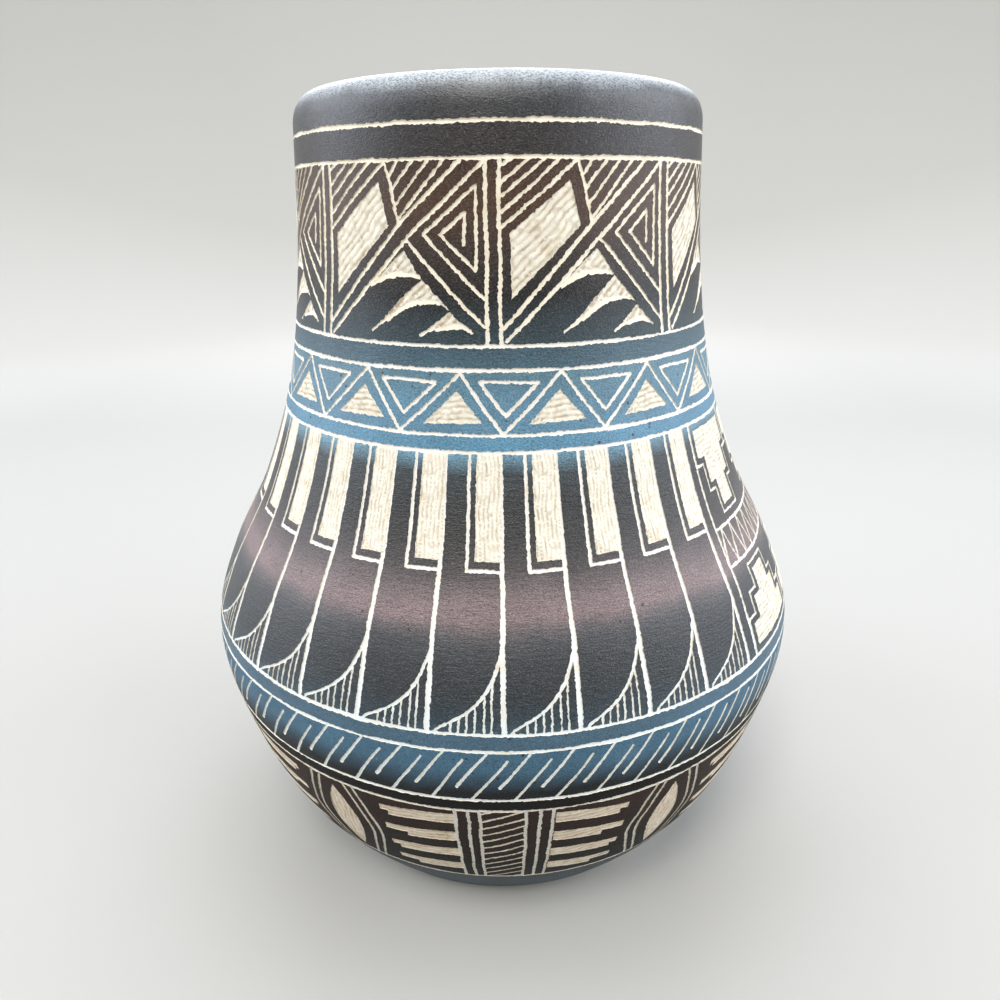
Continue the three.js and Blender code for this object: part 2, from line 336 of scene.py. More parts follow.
def wrapGroup():
    tree, add, given = newTree("placeOnWall", [
        ("Profile", "Geometry"), ("Flat", "Vector"), ("Radius", "Float"), ("Start", "Float"),
        ("Lead", "Float")], ("Place", "Vector"))
    flat = add("ShaderNodeSeparateXYZ", [given["Flat"]])
    angle = add("ShaderNodeMath", [flat["X"], given["Radius"]], operation="DIVIDE")[0]
    turn = add("ShaderNodeMath", [given["Start"], angle], operation="ADD")[0]
    down = add("ShaderNodeMath", [given["Lead"], flat["Y"]], operation="SUBTRACT")[0]
    sample = add("GeometryNodeSampleCurve", {"Curves": given["Profile"], "Length": down},
                 mode="LENGTH")
    place = add("ShaderNodeSeparateXYZ", [sample["Position"]])
    along = add("ShaderNodeSeparateXYZ", [sample["Tangent"]])
    # the height over the sheet goes along the wall's normal
    rise = add("ShaderNodeMath", [along["X"], flat["Z"], place["Z"]], operation="MULTIPLY_ADD")[0]
    inward = add("ShaderNodeMath", [along["Z"], flat["Z"]], operation="MULTIPLY")[0]
    reach = add("ShaderNodeMath", [place["X"], inward], operation="SUBTRACT")[0]
    x, y = [add("ShaderNodeMath", [reach, add("ShaderNodeMath", [turn], operation=wave)[0]],
                operation="MULTIPLY")[0] for wave in ("SINE", "COSINE")]
    front = add("ShaderNodeMath", [y, -1.0], operation="MULTIPLY")[0]
    joined = add("ShaderNodeCombineXYZ", [x, front, rise])[0]
    add("NodeGroupOutput", {"Place": joined})
    return tree


def roundTree():
    tree, add, given = newTree("fieldsRoundPot", [
        ("Geometry", "Geometry"), ("Unit", "Object"), ("Profile", "Object"), ("Copies", "Int", 1),
        ("Pitch", "Float", 0.01), ("Radius", "Float", 0.08), ("Start", "Float", 0.0),
        ("Lead", "Float", 0.0), ("Chatter", "Float", 0.0), ("Chatter Size", "Float", 0.001),
        ("Wander", "Float", 0.0), ("Wander Size", "Float", 0.014), ("Seed", "Float", 0.0),
        ("Slip", "Material"), ("Clay", "Material")], ("Geometry", "Geometry"))
    unit, profile = [add("GeometryNodeObjectInfo", [given[name]])["Geometry"]
                     for name in ("Unit", "Profile")]
    step = add("ShaderNodeCombineXYZ", [given["Pitch"]])[0]
    line = add("GeometryNodeMeshLine", {"Count": given["Copies"], "Offset": step},
               mode="OFFSET")[0]
    copies = add("GeometryNodeInstanceOnPoints", {"Points": line, "Instance": unit})[0]
    flat = add("GeometryNodeInputPosition")[0]
    level = (1, 1, 0)
    wrap = wrapGroup()

    def passed(kind, geometry, **inputs):
        return addNode(tree, kind, {"Geometry": geometry, **inputs})[0]

    def wrapped(place):
        return add("GeometryNodeGroup", {
            "Profile": profile, "Flat": place, "Radius": given["Radius"],
            "Start": given["Start"], "Lead": given["Lead"]}, node_tree=wrap)[0]

    def shaken(place, where, amount, size):
        # the noise is read on the pot itself, so that it meets where the band closes
        scale = add("ShaderNodeMath", [1.0, size], operation="DIVIDE")[0]
        push = add("ShaderNodeTexNoise", {
            "Vector": where, "W": given["Seed"], "Scale": scale, "Detail": 1.0},
            noise_dimensions="4D")["Color"]
        for operation, value in (("SUBTRACT", (0.5, 0.5, 0.5)), ("MULTIPLY", level),
                                 ("MULTIPLY", amount), ("ADD", place)):
            push = add("ShaderNodeVectorMath", [push, value], operation=operation)[0]
        return push

    there = wrapped(add("ShaderNodeVectorMath", [flat, level], operation="MULTIPLY")[0])
    chattered = shaken(flat, there, given["Chatter"], given["Chatter Size"])
    wandered = shaken(chattered, there, given["Wander"], given["Wander Size"])
    real = passed("GeometryNodeRealizeInstances", copies)
    bent = passed("GeometryNodeSetPosition", real, Position=wrapped(wandered))
    welded = passed("GeometryNodeMergeByDistance", bent, Distance=pot["weld"] * mm)
    whole = passed("GeometryNodeRealizeInstances", welded)
    dressed = passed("GeometryNodeSetMaterial", whole, Material=given["Slip"])
    bare = add("GeometryNodeInputNamedAttribute", {"Name": "bareClay"},
               data_type="BOOLEAN")["Attribute"]
    done = passed("GeometryNodeSetMaterial", dressed, Selection=bare, Material=given["Clay"])
    add("NodeGroupOutput", {"Geometry": done})
    return tree


fieldTree = roundTree()
wallProfile = makeProfile("wallProfile", outsidePath)


def roundThePot(name, unit, radius, copies, startAngle, slip, profile=wallProfile, lead=0,
                pitchAngle=None, chatter=1.15, wander=0.8, wanderSize=14.0, seed=1.0):
    pitch = math.radians(pitchAngle or 360 / copies) * radius
    lengths = {"Pitch": pitch, "Radius": radius, "Lead": lead, "Chatter": chatter,
               "Chatter Size": pot["chatterSize"], "Wander": wander, "Wander Size": wanderSize}
    values = {"Unit": unit, "Profile": profile, "Copies": copies, "Slip": slip, "Clay": clay,
              "Start": math.radians(startAngle), "Seed": float(seed)}
    values.update({name: length * mm for name, length in lengths.items()})
    host = newObject(name + "Host", bpy.data.meshes.new(name + "Host"))
    modifier = host.modifiers.new("fields", "NODES")
    modifier.node_group = fieldTree
    for item in fieldTree.interface.items_tree:
        if item.in_out == "INPUT" and item.name in values:
            modifier[item.identifier] = values[item.name]
    bpy.context.view_layer.update()
    graph = bpy.context.evaluated_depsgraph_get()
    mesh = bpy.data.meshes.new_from_object(host.evaluated_get(graph))
    mesh.name = name
    host.modifiers.remove(modifier)
    bpy.data.objects.remove(host)
    bpy.data.objects.remove(unit)
    mesh.shade_smooth()
    mesh.set_sharp_from_angle(angle=math.radians(pot["sharpAngle"]))
    piece = newObject(name, mesh)
    triangles = sum(len(face.vertices) - 2 for face in mesh.polygons)
    print(name, triangles, "triangles")
    return piece


# Flat fields: outlines cut by ribbons, discs and windows, then given their thickness

field = {
    "grain": 0.48,
    "meshPitch": 2.4,
    "lipPitch": 1.2,
    "sink": 0.06,
    "cornerPoints": 10,
    "stainOnTop": 0.25,
    "stainBelow": 0.1,
}
scraper = {
    "step": 0.85,
    "stepSpread": (0.75, 1.25),
    # how far the hand sways and wavers, and over what length
    "sways": [(0.26, 2.9), (0.12, 1.1)],
    "waver": (0.22, 1.7),
    "strokeLength": 3.2,
    "strokeGap": 0.2,
    # chances drawn for the rows: heights of ridges and of grooves, and where strokes break
    "chances": 900,
    "spreads": [(0.45, 1.0), (0.0, 0.3), (0.0, 1.0)],
    "leastWorn": 0.35,
}


def around(ring):
    return zip(ring, ring[1:] + ring[:1])


def evenly(ring):
    # points as close as the grain that roughens a scored edge
    spaced = []
    for a, b in around(ring):
        count = max(1, round((b - a).length / field["grain"]))
        spaced += [a.lerp(b, k / count) for k in range(count)]
    return spaced


def smoothLine(points, perSpan=6):
    last = len(points) - 1
    return [splinePoint(points, k / (last * perSpan)) for k in range(last * perSpan + 1)]


def disc(centre, radius):
    turns = [math.tau * k / field["cornerPoints"] for k in range(field["cornerPoints"])]
    return [centre + radius * Vector((math.cos(a), math.sin(a))) for a in turns]


def leftOf(way):
    return Vector((-way.y, way.x)).normalized()


def scored(points, width, closed=False):
    # a line drawn with a needle: one ribbon for each straight run, a disc at each corner
    line = points + points[:1] if closed else points
    cuts = [disc(p, width / 2) for p in line]
    for a, b in zip(line, line[1:]):
        side = leftOf(b - a) * width / 2
        cuts.append([a - side, b - side, b + side, a + side])
    return cuts


def swept(points, widths):
    # a curving stroke that swells and thins
    line = smoothLine(points)
    along = lengthsAlong(line)
    left, right = [], []
    for i, point in enumerate(line):
        ahead = line[min(i + 1, len(line) - 1)] - line[max(i - 1, 0)]
        share = along[i] / along[-1] * (len(widths) - 1)
        k = min(int(share), len(widths) - 2)
        reach = (widths[k] + (widths[k + 1] - widths[k]) * (share - k)) / 2
        side = leftOf(ahead) * reach
        left.append(point + side)
        right.append(point - side)
    return [right + left[::-1]]


def turnedLeft(ring):
    area = sum(a.x * b.y - b.x * a.y for a, b in around(ring))
    return ring if area > 0 else ring[::-1]


def inside(ring, point):
    within = False
    for a, b in around(ring):
        if (a.y > point.y) != (b.y > point.y):
            if point.x < a.x + (b.x - a.x) * (point.y - a.y) / (b.y - a.y):
                within = not within
    return within


def newSheet():
    return {"points": [], "faces": [], "bare": [], "stain": []}


def gridIn(ring, pitch):
    xs, ys = [p.x for p in ring], [p.y for p in ring]
    columns = max(1, math.ceil((max(xs) - min(xs)) / pitch))
    rows = max(1, math.ceil((max(ys) - min(ys)) / pitch))
    found = []
    for row in range(rows):
        for column in range(columns):
            spot = Vector((min(xs) + (column + 0.25 + 0.5 * (row % 2)) * pitch,
                           min(ys) + (row + 0.5) * pitch))
            if inside(ring, spot):
                found.append(spot)
    return found


def addCoat(sheet, outline, cuts=(), seams=(), loose=None, surface=None, bare=False,
            pitch=field["meshPitch"]):
    # a closed field: its upper side at the surface's height, its lower side sunk in the clay
    rings = [turnedLeft(evenly(ring)) for ring in [outline, *cuts]]
    points, loops = [], []
    for ring in rings:
        loops.append(list(range(len(points), len(points) + len(ring))))
        points += ring
    firstLoose = len(points)
    points += gridIn(rings[0], pitch) if loose is None else loose
    places, _, faces, sources, _, owners = delaunay_2d_cdt(points, [], loops, 1, 1e-5, True)
    kept = [face for face, owner in zip(faces, owners) if list(owner) == [0]]
    used = sorted({i for face in kept for i in face})
    first = len(sheet["points"])
    index = {old: first + new for new, old in enumerate(used)}
    plain = (pot["slipThickness"], field["stainOnTop"])
    for i in used:
        free = any(k >= firstLoose for k in sources[i])
        height, stain = surface(places[i], free) if surface else plain
        sheet["points"].append((places[i].x, places[i].y, height))
        sheet["stain"].append(stain)
    sheet["points"] += [(places[i].x, places[i].y, -field["sink"]) for i in used]
    below = len(used)
    sheet["stain"] += [field["stainBelow"]] * below
    edges = {edge for face in kept for edge in around(face)}
    for face in kept:
        ring = [index[i] for i in face]
        sheet["faces"] += [ring, [i + below for i in ring[::-1]]]
        sheet["bare"] += [bare, bare]
    for a, b in edges:
        if (b, a) in edges or any(onLine(places[a], places[b], seam) for seam in seams):
            continue
        a, b = index[a], index[b]
        sheet["faces"].append([a, a + below, b + below, b])
        sheet["bare"].append(True)
    return sheet


def onLine(a, b, line):
    start, end = line
    side = leftOf(end - start)
    return max(abs((a - start).dot(side)), abs((b - start).dot(side))) < 1e-3


def scraped(direction, seed, groovePitch, depth, soil):
    # A toothed scraper leaves grooves side by side that sway with the hand, broken where each
    # stroke ends. Three rows of points make one groove and its ridge.
    along = Vector(direction).normalized()
    across = Vector((-along.y, along.x))
    chance = random.Random(seed)
    rowPitch = groovePitch / 3
    count = scraper["chances"]
    tall, cut, breaks = [[chance.uniform(*spread) for _ in range(count)]
                         for spread in scraper["spreads"]]
    waver, waverLength = scraper["waver"]

    def sway(v):
        return sum(reach * math.sin(v / length + k * seed)
                   for k, (reach, length) in enumerate(scraper["sways"], 1))

    def rowAt(place):
        u = place.dot(across) - sway(place.dot(along))
        return (round(u / rowPitch) + count // 2) % count

    def loosePoints(ring):
        us = [p.dot(across) for p in ring]
        vs = [p.dot(along) for p in ring]
        found = []
        for row in range(math.floor(min(us) / rowPitch) - 1, math.ceil(max(us) / rowPitch) + 2):
            v = min(vs) + (0.35 + 0.4 * (row % 2)) * scraper["step"]
            while v < max(vs):
                aside = waver * rowPitch * math.sin(v / waverLength + row // 3)
                spot = across * (row * rowPitch + aside + sway(v)) + along * v
                if inside(ring, spot):
                    found.append(spot)
                v += scraper["step"] * chance.uniform(*scraper["stepSpread"])
        return found

    def surface(place, free):
        # height above the clay, and how much slip is left in it
        if not free:
            return 0.03, 0.2
        row = rowAt(place)
        phase = breaks[row // 3]
        least, length = scraper["leastWorn"], scraper["strokeLength"] * (0.6 + 1.3 * phase)
        strokes = place.dot(along) / length + 9 * phase + 400
        worn = least + (1 - least) * breaks[(int(strokes) * 7 + row // 3 * 3) % count]
        if row % 3 == 0:
            return 0.02 + depth * cut[row] * worn, soil * (1.0 - 0.55 * worn)
        if strokes % 1 < scraper["strokeGap"]:
            return 0.03 + depth * 0.4 * tall[row], soil * 0.5 * worn
        return 0.04 + depth * tall[row] * worn, soil * (0.1 + 0.25 * (1 - worn))

    return loosePoints, surface


def addScraped(sheet, window, direction, seed, groovePitch=1.35, depth=0.26, soil=1.0, **shape):
    loosePoints, surface = scraped(direction, seed, groovePitch, depth, soil)
    addCoat(sheet, window, loose=loosePoints(window), surface=surface, bare=True, **shape)


def unitObject(name, sheet):
    mesh = bpy.data.meshes.new(name)
    mesh.from_pydata([Vector(p) * mm for p in sheet["points"]], [], sheet["faces"])
    bare = mesh.attributes.new("bareClay", "BOOLEAN", "FACE")
    bare.data.foreach_set("value", sheet["bare"])
    stain = mesh.attributes.new("slipStain", "FLOAT", "POINT")
    stain.data.foreach_set("value", sheet["stain"])
    return newObject(name, mesh)


def flat(points):
    return [Vector((x, -drop)) for x, drop in points]


def arc(radius, points):
    # angles in degrees and drops in millimetres, laid flat at the band's radius
    return flat([(math.radians(angle) * radius, drop) for angle, drop in points])


# Materials

clayLook = {
    "cream": "#e4e0d3",
    "neckScore": "#e6dfcf",
    "featherScore": "#e0deda",
    "bellyScore": "#dbe1e2",
    "tan": "#cfc0a2",
    "brown": "#8c7652",
    # painted shade, laid over the clay low on the pot
    "paintedShadeLow": "#ebe2d8",
    "roughness": 0.86,
    # heights in millimetres between which a tint comes in
    "featherScoreFade": (178, 172),
    "bellyScoreFade": (112, 92),
    "paintedShadeLowFade": (66, 62),
    # sizes of one patch in millimetres
    "tanPatch": 4.5,
    "soilPatch": 2.2,
    "grain": 0.3,
    "reliefDepth": 0.05,
    "reliefStrength": 0.5,
}
slipLook = {
    # how far the tints drift up and down, and the size of a drift, in millimetres
    "drift": 5,
    "driftPatch": 13,
    "cloud": 0.12,
    "cloudPatch": 9,
    "mottlePatch": 0.5,
    "glossReach": 0.12,
    "reliefDepth": 0.13,
    "gritPatch": 0.42,
    "gritColour": "#3d3d3e",
    "foldPatch": 1.6,
    "specks": {"pitch": 1.5, "channel": 0, "size": 0.34, "edge": 0.08, "cover": 0.9,
               "colour": "#15191c"},
    "grainShare": 0.07,
    "grains": {"pitch": 3.1, "channel": 1, "size": 0.09, "edge": 0.02, "cover": 0.7,
               "colour": "#a9a196"},
}


def patches(add, at, size, detail, stretch=(1, 1, 1)):
    # a noise whose patches have a real size, in millimetres
    pulled = add("ShaderNodeVectorMath", [at, stretch], operation="MULTIPLY")[0]
    return add("ShaderNodeTexNoise", {
        "Vector": pulled, "Scale": 1 / (size * mm), "Detail": detail})["Fac"]


def covered(add, base, code, value, low, high, share=1.0, blend="MIX"):
    # a colour laid over the base, up to a share of it as the value goes from low to high
    cover = add("ShaderNodeMapRange", [value, low, high, 0.0, share])[0]
    return add("ShaderNodeMix", {0: cover, 6: base, 7: colour(code)}, data_type="RGBA",
               blend_type=blend)[2]


def spotted(add, at, base, spots, share):
    # a share of the cells holds one round spot each, of its own size
    cell = add("ShaderNodeTexVoronoi", {"Vector": at, "Scale": 1 / (spots["pitch"] * mm)})
    chance = add("ShaderNodeSeparateColor", [cell["Color"]])[spots["channel"]]
    size = add("ShaderNodeMapRange", [chance, 1 - share, 1.0, 0.0, spots["size"]])[0]
    spot = add("ShaderNodeMath", [size, cell["Distance"]], operation="SUBTRACT")[0]
    return covered(add, base, spots["colour"], spot, 0.0, spots["edge"], spots["cover"])


def newMaterial(name):
    paint = bpy.data.materials.new(name)
    paint.use_nodes = True
    paint.node_tree.nodes.clear()
    add = partial(addNode, paint.node_tree)
    at = add("ShaderNodeTexCoord")["Object"]
    return paint, add, at, add("ShaderNodeSeparateXYZ", [at])["Z"]


def finish(add, base, roughness, bump, bumpDistance, bumpStrength, specular=0.5):
    normal = add("ShaderNodeBump", {
        "Height": bump, "Distance": bumpDistance * mm, "Strength": bumpStrength})[0]
    shader = add("ShaderNodeBsdfPrincipled", {
        "Base Color": base, "Roughness": roughness, "Normal": normal, "IOR": 1.5,
        "Specular IOR Level": specular})[0]
    add("ShaderNodeOutputMaterial", {"Surface": shader})


def firedSlip(name, shades, gloss, specks=0.0, mottle=0.5, wrinkle=0.0, specular=0.5, rub=1.2,
              grit=1.0):
    # shades: colours at distances down the wall in millimetres, less than nothing on the lip
    paint, add, at, z = newMaterial(name)
    lipRoot = pot["wall"][0][1]
    heights = [(wallAt(down).y if down >= 0 else lipRoot - down, code) for down, code in shades]
    low, high = heights[-1][0], heights[0][0]
    drift, cloud, reach = slipLook["drift"], slipLook["cloud"], slipLook["glossReach"]
    uneven = add("ShaderNodeMath", [patches(add, at, slipLook["driftPatch"], 3), drift * mm, z],
                 operation="MULTIPLY_ADD")[0]
    share = add("ShaderNodeMapRange", [uneven, (low + drift / 2) * mm, (high + drift / 2) * mm])[0]
    tint = add("ShaderNodeValToRGB", [share])[0]
    stops = tint.node.color_ramp.elements
    stops.remove(stops[1])
    for i, (level, code) in enumerate(reversed(heights)):
        place = (level - low) / (high - low)
        stop = stops[0] if i == 0 else stops.new(place)
        stop.position = place
        stop.color = colour(code)
    # sprayed slip lies in clouds, over a fine mottling that breaks up the sheen
    clouds = patches(add, at, slipLook["cloudPatch"], 3)
    fine = patches(add, at, slipLook["mottlePatch"], 3, (1, 1, 1.8))
    cloudy, mottled, rough = [
        add("ShaderNodeMapRange", [value, 0.3, 0.7, middle - sway, middle + sway])[0]
        for value, middle, sway in ((clouds, 1, cloud), (fine, 1, mottle), (fine, gloss, reach))]
    value = add("ShaderNodeMath", [cloudy, mottled], operation="MULTIPLY")[0]
    base = add("ShaderNodeHueSaturation", {"Value": value, "Color": tint})[0]
    if specks:
        # iron specks that burn black through the pale slip
        base = spotted(add, at, base, slipLook["specks"], specks)
    # pale grit in the slip, which shows most where the coat is dark
    pale = patches(add, at, slipLook["gritPatch"], 1, (1.1, 0.9, 1.3))
    base = covered(add, base, slipLook["gritColour"], pale, 0.5, 0.75, grit, "ADD")
    # wear lets a few pale grains of the clay through
    base = spotted(add, at, base, slipLook["grains"], slipLook["grainShare"])
    relief = fine
    if wrinkle:
        folds = patches(add, at, slipLook["foldPatch"], 2, (0.55, 0.55, 2.6))
        relief = add("ShaderNodeMath", [folds, wrinkle, fine], operation="MULTIPLY_ADD")[0]
    finish(add, base, rough, relief, slipLook["reliefDepth"], rub, specular)
    return paint


def scrapedClay(name):
    # cream clay bared with a needle or a toothed scraper, warmed where slip still stains it
    paint, add, at, z = newMaterial(name)
    stain = add("ShaderNodeAttribute", attribute_name="slipStain")["Fac"]
    # a needle's fresh score is whiter than a scraped window, and cooler among the blues
    base = colour(clayLook["neckScore"])
    for shade in ("featherScore", "bellyScore"):
        start, end = clayLook[shade + "Fade"]
        base = covered(add, base, clayLook[shade], z, start * mm, end * mm)
    base = covered(add, base, clayLook["cream"], stain, 0.0, 0.2)
    tanned = patches(add, at, clayLook["tanPatch"], 4)
    base = covered(add, base, clayLook["tan"], tanned, 0.52, 0.8, 0.6)
    soiled = add("ShaderNodeMapRange", [patches(add, at, clayLook["soilPatch"], 3), 0.38, 0.62,
                                        0.44, 0.8])[0]
    base = covered(add, base, clayLook["brown"], stain, 0.1, 0.9, soiled)
    # painted shade: below 66 mm the clay is darkened and warmed a little, down to 62 mm, as the
    # shade that falls on the lower pot
    start, end = clayLook["paintedShadeLowFade"]
    base = covered(add, base, clayLook["paintedShadeLow"], z, start * mm, end * mm, 0.85, "MULTIPLY")
    fine = patches(add, at, clayLook["grain"], 3)
    value = add("ShaderNodeMapRange", [fine, 0.3, 0.7, 0.9, 1.08])[0]
    base = add("ShaderNodeHueSaturation", {"Value": value, "Color": base})[0]
    finish(add, base, clayLook["roughness"], fine, clayLook["reliefDepth"],
           clayLook["reliefStrength"])
    return paint


clay = scrapedClay("bareCreamClayScraped")
slips = {
    # the pale grey shades over the lip's crest are a painted highlight, the sheen of light from
    # above and behind
    "rim": firedSlip("charcoalSlipWithPaintedCrestHighlight",
                     [(-8, "#979fa5"), (-6, "#81888e"), (-4, "#44474b"), (-1.5, "#222427"),
                      (6, "#18181a")], gloss=0.33, mottle=0.7, rub=1.3, specular=0.55),
    "collar": firedSlip("umberSlipBrushedOnCollar", [(2, "#161011"), (10, "#140d0d")], gloss=0.34,
                        mottle=0.6, rub=1.6, specular=0.47),
    "neck": firedSlip("umberSlipFadingToSlate", [
        (9, "#342013"), (20, "#3e2817"), (30, "#291e18"), (39, "#0a0a0a"), (50, "#27383f")],
        gloss=0.4, specular=0.35),
    "slate": firedSlip("slateSlipSprayed", [(50, "#294451"), (56, "#33515e")], gloss=0.46,
                       specks=0.12, wrinkle=1.0),
    "zigzag": firedSlip("blueSlipSprayed", [(55, "#496b79"), (62, "#4c7184"), (71, "#4a7289")],
                        gloss=0.48, specks=0.22, mottle=0.42),
    "blue": firedSlip("blueSlipSprayedLow", [(70, "#4b7890"), (76, "#46748d")], gloss=0.48,
                      specks=0.22, mottle=0.42),
    "feathers": firedSlip("nightSlipCloudedWithMauve", [
        (75, "#5d889d"), (77.6, "#466371"), (80.3, "#20292d"), (88, "#1a1b1c"), (97, "#252424"),
        (103, "#393334"), (107, "#544a4b"), (111, "#6b5c5d"), (115, "#705f60"), (118, "#4e484a"),
        (121, "#323437"), (126, "#22262a"), (133, "#141c21"), (139, "#172933"), (142, "#2a404c")],
        gloss=0.42, specks=0.05, wrinkle=1.0, mottle=0.52, rub=1.6),
    "shoulder": firedSlip("blueSlipOnShoulder", [(141, "#325162"), (147, "#355569")], gloss=0.46,
                          specks=0.2, mottle=0.42),
    "dashes": firedSlip("blueSlipDarkenedDownward", [
        (146, "#3f6075"), (152, "#3e5e72"), (156, "#2b404e"), (160, "#090d0f"), (163, "#0c0d0e")],
        gloss=0.54, specks=0.15, mottle=0.42, specular=0.2, grit=0.3),
    "black": firedSlip("blackSlipBrushed", [(162, "#100e0d"), (167, "#0f0d0c")], gloss=0.6,
                       specular=0.12, grit=0.2),
    "lower": firedSlip("earthSlipBrushed", [
        (166, "#281a14"), (180, "#221712"), (194, "#161413"), (206, "#161a1d")], gloss=0.6,
        specular=0.13, grit=0.25),
    "base": firedSlip("slateSlipOnFoot", [(205, "#2c3b43"), (231, "#303f46")], gloss=0.55,
                      specks=0.1, specular=0.3, grit=0.5),
}
print("materials made")


# Clay body

body = {
    # inner wall, from the floor up to the lip, and the rounded edge of the foot
    "innerWall": [(63.1, 8), (69.1, 13.3), (75.1, 29.3), (84.4, 54.4), (89.0, 80.2),
                  (80.9, 104.1), (67.6, 129.4), (58.2, 156.8), (53.2, 185.2), (50.8, 213.6),
                  (47.3, 223)],
    "innerSteps": 240,
    "floorRadii": [0, 10, 20, 30, 40, 50],
    "footEdge": [(63.8, 2.1), (62.6, 1.35), (61.2, 0.8), (59.4, 0.3)],
    "footHollowMiddle": 20,
    "throwingRingHeight": 7.0,
    "throwingRingDepth": 0.25,
    "fadeAtFloor": 25,
    "fadeAtLip": 30,
    # rows of points: on the lip, down the outside and where less shows
    "lipDrop": 4,
    "outsideLength": 300,
    "footHeight": 3,
    "rowPitches": (0.8, 1.6, 2.4),
}


def clayPath():
    # from the middle of the floor inside, up the inner wall, over the lip and down to the foot
    steps = body["innerSteps"]
    rise = [splinePoint(body["innerWall"], k / steps) for k in range(steps + 1)]
    along = lengthsAlong(rise)
    ringed = []
    for place, length in zip(rise, along):
        # the throwing rings fade out towards the lip and the floor
        fade = min(1.0, length / body["fadeAtFloor"], (along[-1] - length) / body["fadeAtLip"])
        turn = math.tau * length / body["throwingRingHeight"]
        ringed.append(place + Vector((body["throwingRingDepth"] * fade * math.sin(turn), 0)))
    floor = [(radius, pot["floorThickness"]) for radius in body["floorRadii"]]
    hollow, deep = pot["footHollowRadius"], pot["footHollowDepth"]
    foot = body["footEdge"] + [
        (pot["footFlatRadius"], 0), (hollow, 0), (hollow - pot["footHollowStep"], deep),
        (body["footHollowMiddle"], deep), (0, deep)]
    return [Vector(p) for p in floor + ringed[:-1] + outsidePath + foot]


def clayStrip(path):
    # one narrow strip of the outline, repeated right round; rows lie close where it shows
    lengths = lengthsAlong(path)
    width = math.tau * bands["feathers"]["radius"] / pot["turnCount"]
    onLip, outside, hidden = body["rowPitches"]
    rows, length = [0.0], 0.0
    while length < lengths[-1]:
        place = pointAt(path, lengths, length)
        if place.y > pot["wall"][0][1] - body["lipDrop"]:
            length += onLip
        elif length > lengths[-1] - body["outsideLength"] and place.y > body["footHeight"]:
            length += outside
        else:
            length += hidden
        rows.append(min(length, lengths[-1]))
    sheet = newSheet()
    for row in rows:
        sheet["points"] += [(0, -row, 0), (width, -row, 0)]
        sheet["stain"] += [0.0, 0.0]
    for i in range(0, 2 * len(rows) - 2, 2):
        sheet["faces"].append([i, i + 2, i + 3, i + 1])
        sheet["bare"].append(False)
    return sheet


clayOutline = clayPath()
clayBody = roundThePot(
    "clayBody", unitObject("clayStrip", clayStrip(clayOutline)), bands["feathers"]["radius"],
    pot["turnCount"], 180 / pot["turnCount"], clay,
    profile=makeProfile("clayProfile", clayOutline), wander=0, chatter=0)
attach(clayBody, "root")
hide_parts("clay_body")


# Laying a field on the pot, and the bands of plain slip

def layField(name, makeSheet, bandName, copies, slot, nodes, start=0.0, pitch=None, lead=None,
             seed=1.0, **shake):
    band = bands[bandName]
    piece = roundThePot(name, unitObject(name + "Unit", makeSheet(band)), band["radius"], copies,
                        start, slips[bandName],
                        lead=lipLength + band["ring"] if lead is None else lead,
                        pitchAngle=pitch, seed=seed, **shake)
    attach(piece, "root")
    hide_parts(*nodes)


def numbered(name, count, first=1):
    return [f"{name}_{i}" for i in range(first, first + count)]


def corners(band, left, right, slant=0, top=half, reach=0):
    # a field laid flat, from the ring above it to the ring below
    bottom = reach + band["height"] - half
    return arc(band["radius"], [(left, top), (left + slant, bottom), (right + slant, bottom),
                                (right, top)])


def upright(band, angle, width):
    # a line scored right down the band, run over at both ends
    return scored(arc(band["radius"], [(angle, -1), (angle, band["height"] + 1)]), width)


def plainSheet(band, pitch=field["meshPitch"], **ends):
    outline = corners(band, 0, 360 / pot["plainCopies"], **ends)
    return addCoat(newSheet(), outline, seams=(outline[0:2], outline[2:4]), pitch=pitch)


def rimSheet(band):
    # the coat over the lip and down to the first ring
    return plainSheet(band, field["lipPitch"], top=0, reach=lipLength)


plainBands = [
    ("collarSlip", "collar", "umber_slip", "collar_slip"),
    ("slateBandSlip", "slate", "slate_slip", "slate_band_slip"),
    ("blueBandSlip", "blue", "blue_slip", "blue_band_slip"),
    ("shoulderBandSlip", "shoulder", "blue_slip", "shoulder_band_slip"),
    ("blackBandSlip", "black", "black_slip", "black_band_slip"),
    ("baseSlip", "base", "slate_slip", "base_slip"),
]
for seed, (name, bandName, slot, node) in enumerate(plainBands, 2):
    layField(name, plainSheet, bandName, pot["plainCopies"], slot, [node], seed=seed)
layField("rimSlip", rimSheet, "rim", pot["plainCopies"], "charcoal_slip", ["rim_slip"], lead=0,
         seed=9.0)


# Neck: hatched corners, a spiral triangle, a scraped lozenge and three talons in each panel

